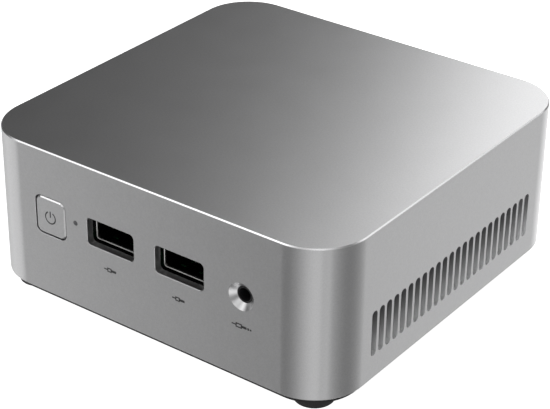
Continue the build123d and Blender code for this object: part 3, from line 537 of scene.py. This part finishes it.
@dataclass(frozen=True)
class Finned(Finish):
    """A stack of thin folded fins, with a slot of painted shade, a dark colour, between each two.

    Attributes:
        pitch: the distance between fins, in metres.
        gap: the painted shade seen down a slot, a dark colour.
    """

    pitch: float = 1.1 * MM
    gap: Colour = (0.015, 0.015, 0.016)

    def sockets(self, net: Net) -> dict:
        """The shader's inputs: upright fins and the painted shade between them."""
        across = net.axes(net.place())[0]
        wave = abs((across / self.pitch).math("FRACT") - 0.5) * 2.0
        fin = wave.fade(0.55, 0.75)
        skin = net.noise(self.grain, 3.0)
        low, high = tinted(self.colour, 1 - self.tone), tinted(self.colour, 1 + self.tone)
        return {
            # The dark colour between the fins is painted shade.
            "Base Color": net.blend(fin, self.gap, net.blend(skin, low, high)),
            "Roughness": self.roughness + (skin - 0.5) * 0.2,
            "Metallic": fin * self.metallic,
            "Normal": net.relief(fin, 0.3 * MM),
        }


@dataclass(frozen=True)
class ClearPlastic(Finish):
    """Smoked clear plastic, which looks dark while no light shines through it."""

    def sockets(self, net: Net) -> dict:
        """The shader's inputs, with a clear coat over the skin."""
        given = super().sockets(net)
        given["Coat Weight"] = 0.5
        given["Transmission Weight"] = 0.35
        return given


JACK_LOW, JACK_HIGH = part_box("audio_jack")
AUDIO_RING = ((JACK_LOW.x + JACK_HIGH.x) / 2, JACK_LOW.y, (JACK_LOW.z + JACK_HIGH.z) / 2)


class Look(Enum):
    """Every finish of the computer, under its material slot's name."""

    shell_aluminium = BlastedAluminium(
        "shell_aluminium", (0.6, 0.6, 0.605), 0.4, 1.0, 0.16 * MM, 0.004 * MM, 0.1,
        top=46.2 * MM, ring=AUDIO_RING, ring_radius=3.85 * MM,
    )
    button_aluminium = BlastedAluminium(
        "button_aluminium", (0.62, 0.62, 0.625), 0.38, 1.0, 0.16 * MM, 0.004 * MM, 0.1,
        top=30 * MM,
    )
    cover_plastic = Finish("cover_plastic", (0.008, 0.008, 0.0085), 0.6, grain=0.3 * MM)
    foot_rubber = Finish(
        "foot_rubber", (0.013, 0.013, 0.013), 0.78, grain=0.2 * MM, tone=0.25
    )
    black_plastic = Finish("black_plastic", (0.012, 0.012, 0.013), 0.42, grain=0.2 * MM)
    blue_plastic = Finish("blue_plastic", (0.01, 0.07, 0.42), 0.4, grain=0.2 * MM)
    clear_plastic = ClearPlastic("clear_plastic", (0.09, 0.09, 0.095), 0.3)
    led_white = Finish("led_white", (0.75, 0.74, 0.66), 0.35, grain=0.1 * MM)
    chip_black = Finish("chip_black", (0.025, 0.025, 0.027), 0.5, grain=0.12 * MM)
    paste_grey = Finish("paste_grey", (0.42, 0.42, 0.43), 0.65, grain=0.6 * MM, tone=0.15)
    magnet_grey = Finish("magnet_grey", (0.09, 0.088, 0.085), 0.55, 0.6, tone=0.2)
    screw_steel = StampedMetal(
        "screw_steel", (0.1, 0.1, 0.105), 0.32, 1.0, 0.1 * MM, 0.003 * MM, 0.15,
        along=2, stain=(0.06, 0.06, 0.06),
    )
    plain_steel = StampedMetal(
        "plain_steel", (0.72, 0.715, 0.7), 0.24, 1.0, 0.1 * MM, 0.002 * MM, 0.06,
        # Painted shade inside the sockets, between 38 mm and 52.3 mm from the middle.
        painted_deep_shade=(38 * MM, 52.3 * MM),
    )
    cell_steel = StampedMetal(
        "cell_steel", (0.66, 0.655, 0.64), 0.28, 1.0, 0.12 * MM, 0.003 * MM, 0.06, along=0
    )
    contact_gold = StampedMetal(
        "contact_gold", (0.95, 0.68, 0.28), 0.22, 1.0, 0.08 * MM, 0.002 * MM, 0.06,
        stain=(0.6, 0.42, 0.2),
    )
    copper = StampedMetal(
        "copper", (0.85, 0.42, 0.26), 0.3, 1.0, 0.12 * MM, 0.003 * MM, 0.1,
        stain=(0.42, 0.2, 0.12),
    )
    thread_brass = Threaded(
        "thread_brass", (0.78, 0.56, 0.27), 0.3, 1.0, 0.1 * MM, 0.04 * MM, 0.1
    )
    fin_aluminium = Finned(
        "fin_aluminium", (0.72, 0.73, 0.74), 0.35, 1.0, 0.12 * MM, tone=0.08
    )
    board_green = CircuitBoard("board_green", (0.012, 0.085, 0.035), 0.32)


# ---------------------------------------------------------------- mesh helpers

SLOTS = {name: part.material_slots[0].material.name for name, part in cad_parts.items()}


def settled(name: str, work: bmesh.types.BMesh) -> bpy.types.Object:
    """Makes a bmesh an object at the origin and frees it.

    Args:
        name: the piece's name.
        work: the finished mesh, in metres in the row frame.

    Returns:
        The linked object.
    """
    mesh = bpy.data.meshes.new(name)
    work.to_mesh(mesh)
    work.free()
    piece = bpy.data.objects.new(name, mesh)
    bpy.context.scene.collection.objects.link(piece)
    return piece


def lies_square(normal: Vector) -> bool:
    """Whether a face is square to an axis or a plain 45 degree chamfer.

    Args:
        normal: the face's normal.

    Returns:
        True for the flat faces that rounded ones run into.
    """
    parts = sorted(abs(part) for part in normal)
    if parts[0] > 1e-4:
        return False
    return parts[1] < 1e-4 or abs(parts[1] - parts[2]) < 1e-3


@dataclass
class SmoothSkin:
    """A merged copy of a CAD part, whose rounded faces shade as one smooth surface.

    Attributes:
        node: the CAD part's name.
        name: the new piece's name.
        body: the body it rides on.
        crease: the angle over which an edge stays sharp, in degrees.
        merge: how close points are to count as one, in metres.
    """

    node: str
    name: str
    body: str = "case"
    crease: float = 28.0
    merge: float = 0.0008 * MM

    def build(self) -> bpy.types.Object:
        """Makes the skin and puts it in its part's place.

        Returns:
            The new piece.
        """
        work = bmesh.new()
        work.from_mesh(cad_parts[self.node].data)
        bmesh.ops.remove_doubles(work, verts=work.verts, dist=self.merge)
        bmesh.ops.dissolve_degenerate(work, edges=work.edges, dist=self.merge)
        for face in work.faces:
            face.smooth = True
        work.normal_update()
        normals = self.shading(work)
        slot = SLOTS[self.node]
        piece = settled(self.name, work)
        piece.data.normals_split_custom_set(normals)
        piece.data.materials.append(Look[slot].value.material())
        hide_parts(self.node)
        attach(piece, self.body)
        LOG.info("%s: %d faces over %s", self.name, len(piece.data.polygons), self.node)
        return piece

    def shading(self, work: bmesh.types.BMesh) -> list[Vector]:
        """The normal of every face corner.

        A corner takes the normal of a flat face that its smooth surface runs into, and
        otherwise the mean of the faces around it.

        Args:
            work: the merged mesh.

        Returns:
            The normals, in the order of the faces' loops.
        """
        limit = math.cos(math.radians(self.crease))
        normals = []
        for face in work.faces:
            for loop in face.loops:
                around = [f for f in loop.vert.link_faces if f.normal.dot(face.normal) > limit]
                flat = [f for f in around if lies_square(f.normal)]
                if lies_square(face.normal):
                    normals.append(face.normal.copy())
                elif flat:
                    normals.append(max(flat, key=lambda f: f.calc_area()).normal.copy())
                else:
                    normals.append(self.mean_normal(loop.vert, around))
        return normals

    @staticmethod
    def mean_normal(corner: bmesh.types.BMVert, around: list) -> Vector:
        """The mean of faces' normals, each weighted by its angle at a corner."""
        total = Vector()
        for face in around:
            at_corner = next(loop for loop in face.loops if loop.vert is corner)
            total += face.normal * at_corner.calc_angle()
        return total.normalized()


@dataclass
class RolledLip:
    """The rolled edge round the mouth of a data socket.

    Attributes:
        node: the socket's shell.
        name: the new piece's name.
        radius: the roll's radius, in metres.
        corner: the corner radius of the roll's middle line, in metres.
        steps: how many parts a corner has, and a third of those of the roll.
    """

    node: str
    name: str
    radius: float = 0.2 * MM
    corner: float = 0.7 * MM
    steps: int = 5

    def path(self) -> list[tuple[Vector, Vector]]:
        """The roll's middle line.

        Returns:
            Its points in order, each with the way out from the mouth.
        """
        low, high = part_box(self.node)
        inset = self.radius + self.corner
        y = low.y + self.radius / 2
        middles = (
            (high.x - inset, high.z - inset), (low.x + inset, high.z - inset),
            (low.x + inset, low.z + inset), (high.x - inset, low.z + inset),
        )
        points = []
        for quarter, (x, z) in enumerate(middles):
            for step in range(self.steps + 1):
                angle = (quarter + step / self.steps) * math.pi / 2
                out = Vector((math.cos(angle), 0, math.sin(angle)))
                points.append((Vector((x, y, z)) + out * self.corner, out))
        return points

    def build(self) -> bpy.types.Object:
        """Makes the lip.

        Returns:
            The new piece.
        """
        work = bmesh.new()
        turns = 3 * self.steps
        rings = []
        for middle, out in self.path():
            angles = [2 * math.pi * turn / turns for turn in range(turns)]
            ring = [
                middle + (out * math.cos(a) - Vector((0, 1, 0)) * math.sin(a)) * self.radius
                for a in angles
            ]
            rings.append([work.verts.new(spot) for spot in ring])
        for ring, following in zip(rings, rings[1:] + rings[:1]):
            for turn in range(turns):
                after = (turn + 1) % turns
                corners = (ring[turn], ring[after], following[after], following[turn])
                work.faces.new(corners).smooth = True
        bmesh.ops.recalc_face_normals(work, faces=work.faces)
        piece = settled(self.name, work)
        slot = SLOTS[self.node]
        piece.data.materials.append(Look[slot].value.material())
        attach(piece, "case")
        LOG.info("%s: rolled round %s", self.name, self.node)
        return piece


@dataclass
class Interior:
    """Every CAD part that is shown as it is: the works inside and the plain parts."""

    def dress(self, skipped: set[str]) -> None:
        """Gives each CAD part its finish.

        Args:
            skipped: the parts that a new piece stands for.
        """
        for name, part in sorted(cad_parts.items()):
            if name in skipped:
                continue
            part.material_slots[0].material = Look[SLOTS[name]].value.material()
            LOG.info("%s: finished as %s", name, SLOTS[name])


@dataclass
class FrontMarks:
    """The printed marks on the front: a power sign and a plug over each front socket.

    Attributes:
        ink: how thick the print is, in metres.
        line: how wide its lines are, in metres.
        front: where the front face is, in metres.
    """

    ink: float = 0.01 * MM
    line: float = 0.34 * MM
    front: float = field(default_factory=lambda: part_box("housing")[0].y)

    def bar(self, work: bmesh.types.BMesh, low: tuple, high: tuple) -> None:
        """Adds an upright rectangle of ink.

        Args:
            work: the mesh that it joins.
            low: its lower left corner, x and z in metres.
            high: its upper right corner.
        """
        size = (high[0] - low[0], 2 * self.ink, high[1] - low[1])
        middle = ((low[0] + high[0]) / 2, self.front, (low[1] + high[1]) / 2)
        made = bmesh.ops.create_cube(work, size=1.0)["verts"]
        bmesh.ops.scale(work, vec=size, verts=made)
        bmesh.ops.translate(work, vec=middle, verts=made)

    def frame_box(self, work: bmesh.types.BMesh, low: tuple, high: tuple) -> None:
        """Adds the outline of a rectangle, in four bars that meet and don't overlap.

        Args:
            work: the mesh that it joins.
            low: its lower left corner, x and z in metres.
            high: its upper right corner.
        """
        (x0, z0), (x1, z1), wide = low, high, self.line
        self.bar(work, (x0, z0), (x1, z0 + wide))
        self.bar(work, (x0, z1 - wide), (x1, z1))
        self.bar(work, (x0, z0 + wide), (x0 + wide, z1 - wide))
        self.bar(work, (x1 - wide, z0 + wide), (x1, z1 - wide))

    def finish(self, name: str, work: bmesh.types.BMesh, body: str) -> bpy.types.Object:
        """Makes a mark a piece in ink.

        Args:
            name: the piece's name.
            work: its mesh.
            body: the body it rides on.

        Returns:
            The new piece.
        """
        bmesh.ops.recalc_face_normals(work, faces=work.faces)
        piece = settled(name, work)
        piece.data.materials.append(self.ink_finish().material())
        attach(piece, body)
        LOG.info("%s: printed, rides on %s", name, body)
        return piece

    @staticmethod
    def ink_finish() -> Finish:
        """Dark grey print, a little uneven at its edges."""
        return Finish("print_ink", (0.022, 0.022, 0.023), 0.6, grain=0.08 * MM, tone=0.3)

    def power_sign(self, radius: float = 1.68 * MM, gap: float = 56.0) -> bpy.types.Object:
        """The sign on the power button: a ring open at its top with a bar in the opening.

        Args:
            radius: the ring's mean radius.
            gap: the opening's angle in degrees.

        Returns:
            The sign.
        """
        low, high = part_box("power_button")
        x, z = (low.x + high.x) / 2 - 0.08 * MM, (low.z + high.z) / 2 - 0.15 * MM
        work = bmesh.new()
        cut = bmesh.ops.create_grid(work, x_segments=1, y_segments=1, size=0.5)["verts"]
        for axis in "XZ":
            upright = Matrix.Rotation(math.pi / 2, 3, axis)
            bmesh.ops.rotate(work, cent=(0, 0, 0), matrix=upright, verts=cut)
        bmesh.ops.scale(work, vec=(1, 2 * self.ink, self.line), verts=cut)
        bmesh.ops.translate(work, vec=(0, 0, radius), verts=cut)
        turn = Matrix.Rotation(math.radians(gap / 2), 3, "Y")
        bmesh.ops.rotate(work, cent=(0, 0, 0), matrix=turn, verts=cut)
        bmesh.ops.spin(
            work, geom=[*work.faces, *work.edges, *work.verts], cent=(0, 0, 0), axis=(0, 1, 0),
            dvec=(0, 0, 0), angle=math.radians(360 - gap), steps=44, use_duplicate=False,
        )
        bmesh.ops.translate(work, vec=(x, self.front, z), verts=work.verts)
        half = self.line / 2
        self.bar(work, (x - half, z + 0.02 * radius), (x + half, z + 1.1 * radius))
        return self.finish("power_sign", work, "power_button")

    def plug_sign(self, name: str, middle: tuple, length: float, height: float) -> None:
        """A flat plug on its lead, which marks a data socket.

        Args:
            name: the piece's name.
            middle: the sign's middle, x and z in metres.
            length: how long it is.
            height: how high it is.
        """
        x0, z0 = middle[0] - length / 2, middle[1] - height / 2
        x1, z1 = x0 + length, z0 + height
        work = bmesh.new()
        neck = x0 + 0.62 * length
        head = x0 + 0.26 * length
        self.frame_box(work, (head, z0), (neck, z1))
        inner = 0.22 * height
        self.frame_box(work, (neck, z0 + inner), (x1, z1 - inner))
        half = self.line / 2
        self.bar(work, (x0, middle[1] - half), (head, middle[1] + half))
        self.finish(name, work, "case")

    def jack_sign(self, name: str, middle: tuple, length: float, height: float) -> None:
        """A round jack plug on its lead, which marks the audio socket.

        Args:
            name: the piece's name.
            middle: the sign's middle, x and z in metres.
            length: how long it is.
            height: how high it is.
        """
        x0, z0 = middle[0] - length / 2, middle[1] - height / 2
        x1, z1 = x0 + length, z0 + height
        work = bmesh.new()
        head, neck = x0 + 0.2 * length, x0 + 0.52 * length
        self.frame_box(work, (head, z0), (neck, z1))
        half, slim = self.line / 2, 0.24 * height
        self.bar(work, (x0, middle[1] - half), (head, middle[1] + half))
        first, second = neck + 0.24 * length, neck + 0.36 * length
        space = self.line * 0.7
        self.bar(work, (neck, z0 + slim), (first, z1 - slim))
        self.bar(work, (first + space, z0 + slim), (second, z1 - slim))
        self.bar(work, (second + space, z0 + slim * 1.3), (x1, z1 - slim * 1.3))
        self.finish(name, work, "case")

    def build(self) -> None:
        """Prints every mark."""
        self.power_sign()
        for side in ("left", "right"):
            low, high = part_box(f"usb_{side}_shell")
            middle = ((low.x + high.x) / 2 - 0.35 * MM, low.z - 5.6 * MM)
            self.plug_sign(f"data_sign_{side}", middle, 4.0 * MM, 1.25 * MM)
        low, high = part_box("audio_jack")
        middle = ((low.x + high.x) / 2 + 0.1 * MM, 18.9 * MM)
        self.jack_sign("audio_sign", middle, 6.0 * MM, 1.3 * MM)


# ---------------------------------------------------------------- studio


@dataclass(frozen=True)
class Glow:
    """A soft patch of light on the studio's walls.

    Attributes:
        azimuth: its direction from the front towards the right side, in degrees.
        elevation: its height above the horizon, in degrees.
        wide: how far it reaches sideways, in degrees.
        tall: how far it reaches up and down, in degrees.
        strength: how bright its middle is.
    """

    azimuth: float
    elevation: float
    wide: float
    tall: float
    strength: float

    def brightness(self, net: Net, direction: Wire) -> Wire:
        """How bright the patch is in a direction.

        Args:
            net: the world's tree.
            direction: a unit vector.

        Returns:
            The brightness.
        """
        x, y, z = net.axes(direction)
        angle = math.radians(self.azimuth)
        level = (x * x + y * y + 1e-6).math("SQRT")
        facing = (x * math.sin(angle) - y * math.cos(angle)) / level
        sharp = 1.0 / (1.0 - math.cos(math.radians(self.wide)))
        height = z.math("ARCSINE") - math.radians(self.elevation)
        off = height / math.radians(self.tall)
        power = (facing - 1.0) * sharp - off * off
        return power.math("EXPONENT") * self.strength


@dataclass
class Studio:
    """A pale floor, soft light all round and the camera.

    Attributes:
        floor_radius: the floor's radius, in metres.
        base: the brightness of the walls between the patches of light.
        glows: the patches of light on the walls.
        box_place: the middle of the soft light behind the computer, in metres.
        box_size: its width and height.
        box_power: its power in watts.
        turn: the camera's azimuth, elevation and roll, in degrees.
        reach: how far the camera is, in metres.
        shift: how far it is moved across and up, in metres.
        lens: its focal length, in millimetres on a 36 mm sensor.
    """

    floor_radius: float = 4.0
    base: float = 0.02
    glows: tuple[Glow, ...] = (
        Glow(-85, -32, 10, 26, 1.15),
        Glow(-58, -32, 10, 26, 1.60),
        Glow(37.5, -32, 38, 26, 1.05),
        Glow(199, -32, 55, 26, 1.97),
        Glow(10, -55, 100, 40, 0.06),
        Glow(40, 45, 45, 22, 1.25),
        Glow(-46, 46, 28, 18, 1.5),
        Glow(143, 31, 24, 12, 1.1),
    )
    box_place: Vector = field(default_factory=lambda: Vector((-0.0165, 0.261, 0.3256)))
    box_size: tuple[float, float] = (0.2555, 0.5)
    box_power: float = 0.79
    turn: tuple[float, float, float] = (36.38, 29.42, 0.69)
    reach: float = 496.85 * MM
    shift: tuple[float, float] = (-0.727 * MM, 11.587 * MM)
    lens: float = 118.05

    def floor(self) -> bpy.types.Object:
        """A plain pale floor.

        Returns:
            The floor, which isn't part of the object.
        """
        work = bmesh.new()
        bmesh.ops.create_circle(work, cap_ends=True, segments=96, radius=self.floor_radius)
        bmesh.ops.translate(work, vec=(0, 0, -0.02 * MM), verts=work.verts)
        piece = settled("floor", work)
        made = bpy.data.materials.new("floor_white")
        made.use_nodes = True
        net = Net(made.node_tree)
        inputs = {
            "Base Color": (0.9, 0.9, 0.9),
            "Roughness": 0.9,
            "Specular IOR Level": 0.0,
            "Emission Color": (1.0, 1.0, 1.0),
            "Emission Strength": 1.0,
        }
        shader = net.add("ShaderNodeBsdfPrincipled", inputs=inputs)
        net.add("ShaderNodeOutputMaterial", inputs={"Surface": shader})
        piece.data.materials.append(made)
        piece.visible_glossy = False
        piece.visible_shadow = False
        return piece

    def walls(self) -> None:
        """The soft light that comes from every side."""
        world = bpy.data.worlds.new("studio")
        world.use_nodes = True
        bpy.context.scene.world = world
        net = Net(world.node_tree)
        direction = net.add("ShaderNodeTexCoord", output="Generated")
        total: Value = self.base
        for glow in self.glows:
            total = glow.brightness(net, direction) + total
        lit = net.add("ShaderNodeBackground", inputs={"Color": total, "Strength": 1.0})
        plain = net.add("ShaderNodeBackground", inputs={"Color": (1, 1, 1), "Strength": 1.0})
        seen = net.add("ShaderNodeLightPath", output="Is Camera Ray")
        mixed = net.add("ShaderNodeMixShader", inputs={0: seen, 1: lit, 2: plain})
        net.add("ShaderNodeOutputWorld", inputs={"Surface": mixed})

    def softbox(
        self, name: str, place: Vector, aim: Vector, size: tuple[float, float], power: float
    ) -> bpy.types.Object:
        """A rectangular soft light.

        Args:
            name: the light's name.
            place: its middle, in metres.
            aim: the point that it faces.
            size: its width and height.
            power: its power in watts.

        Returns:
            The light.
        """
        light = bpy.data.lights.new(name, "AREA")
        light.shape = "RECTANGLE"
        light.size, light.size_y = size
        light.energy = power
        lamp = bpy.data.objects.new(name, light)
        lamp.location = place
        lamp.rotation_euler = (aim - place).to_track_quat("-Z", "Y").to_euler()
        lamp.visible_camera = False
        bpy.context.scene.collection.objects.link(lamp)
        return lamp

    def camera(self) -> bpy.types.Object:
        """The camera, a little to the right of the front and above.

        Returns:
            The camera.
        """
        azimuth, elevation, roll = (math.radians(a) for a in self.turn)
        back = Vector((
            math.sin(azimuth) * math.cos(elevation),
            -math.cos(azimuth) * math.cos(elevation),
            math.sin(elevation),
        ))
        right = Vector((math.cos(azimuth), math.sin(azimuth), 0))
        up = back.cross(right)
        across = right * math.cos(roll) + up * math.sin(roll)
        upward = up * math.cos(roll) - right * math.sin(roll)
        low, high = CAD_BOX
        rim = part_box("housing")[0].z + 0.25 * MM
        middle = Vector(((low.x + high.x) / 2, (low.y + high.y) / 2, rim))
        place = middle + back * self.reach + across * self.shift[0] + upward * self.shift[1]
        lens = bpy.data.cameras.new("camera")
        lens.sensor_width, lens.lens = 36.0, self.lens
        lens.clip_start, lens.clip_end = 0.01, 50.0
        seen = bpy.data.objects.new("camera", lens)
        turned = Matrix((across, upward, back)).transposed().to_4x4()
        seen.matrix_world = Matrix.Translation(place) @ turned
        bpy.context.scene.collection.objects.link(seen)
        bpy.context.scene.camera = seen
        return seen

    def build(self) -> None:
        """Sets up the camera, the floor and the lights."""
        self.camera()
        self.floor()
        self.walls()
        top = Vector((0, 0, CAD_BOX[1].z))
        self.softbox("rear_softbox", self.box_place, top, self.box_size, self.box_power)
        bpy.context.scene.view_settings.view_transform = "Standard"


# ---------------------------------------------------------------- the whole computer


SKINS = (
    SmoothSkin("housing", "shell"),
    SmoothSkin("power_button", "power_key", "power_button"),
    SmoothSkin("bottom_cover", "base_cover"),
    *(
        SmoothSkin(f"foot_{end}_{side}", f"{end}_{side}_foot")
        for end in ("front", "rear") for side in ("left", "right")
    ),
    SmoothSkin("cover_screws", "base_screws"),
    SmoothSkin("usb_left_shell", "left_data_socket"),
    SmoothSkin("usb_right_shell", "right_data_socket"),
    SmoothSkin("audio_jack", "audio_socket"),
    SmoothSkin("light_pipe", "lamp_window"),
    SmoothSkin("hdmi_shells", "screen_sockets"),
    SmoothSkin("rear_usb_shell", "rear_data_sockets"),
    SmoothSkin("dc_jack", "power_socket"),
    SmoothSkin("dc_jack_pin", "power_socket_pin"),
)


def main() -> None:
    """Builds the studio, the skins, the finishes and the marks in order."""
    logging.basicConfig(level=logging.INFO, format="%(name)s %(message)s")
    Studio().build()
    for skin in SKINS:
        skin.build()
    for side in ("left", "right"):
        RolledLip(f"usb_{side}_shell", f"{side}_data_lip").build()
    Interior().dress({skin.node for skin in SKINS})
    FrontMarks().build()


if __name__ == "__main__":
    main()
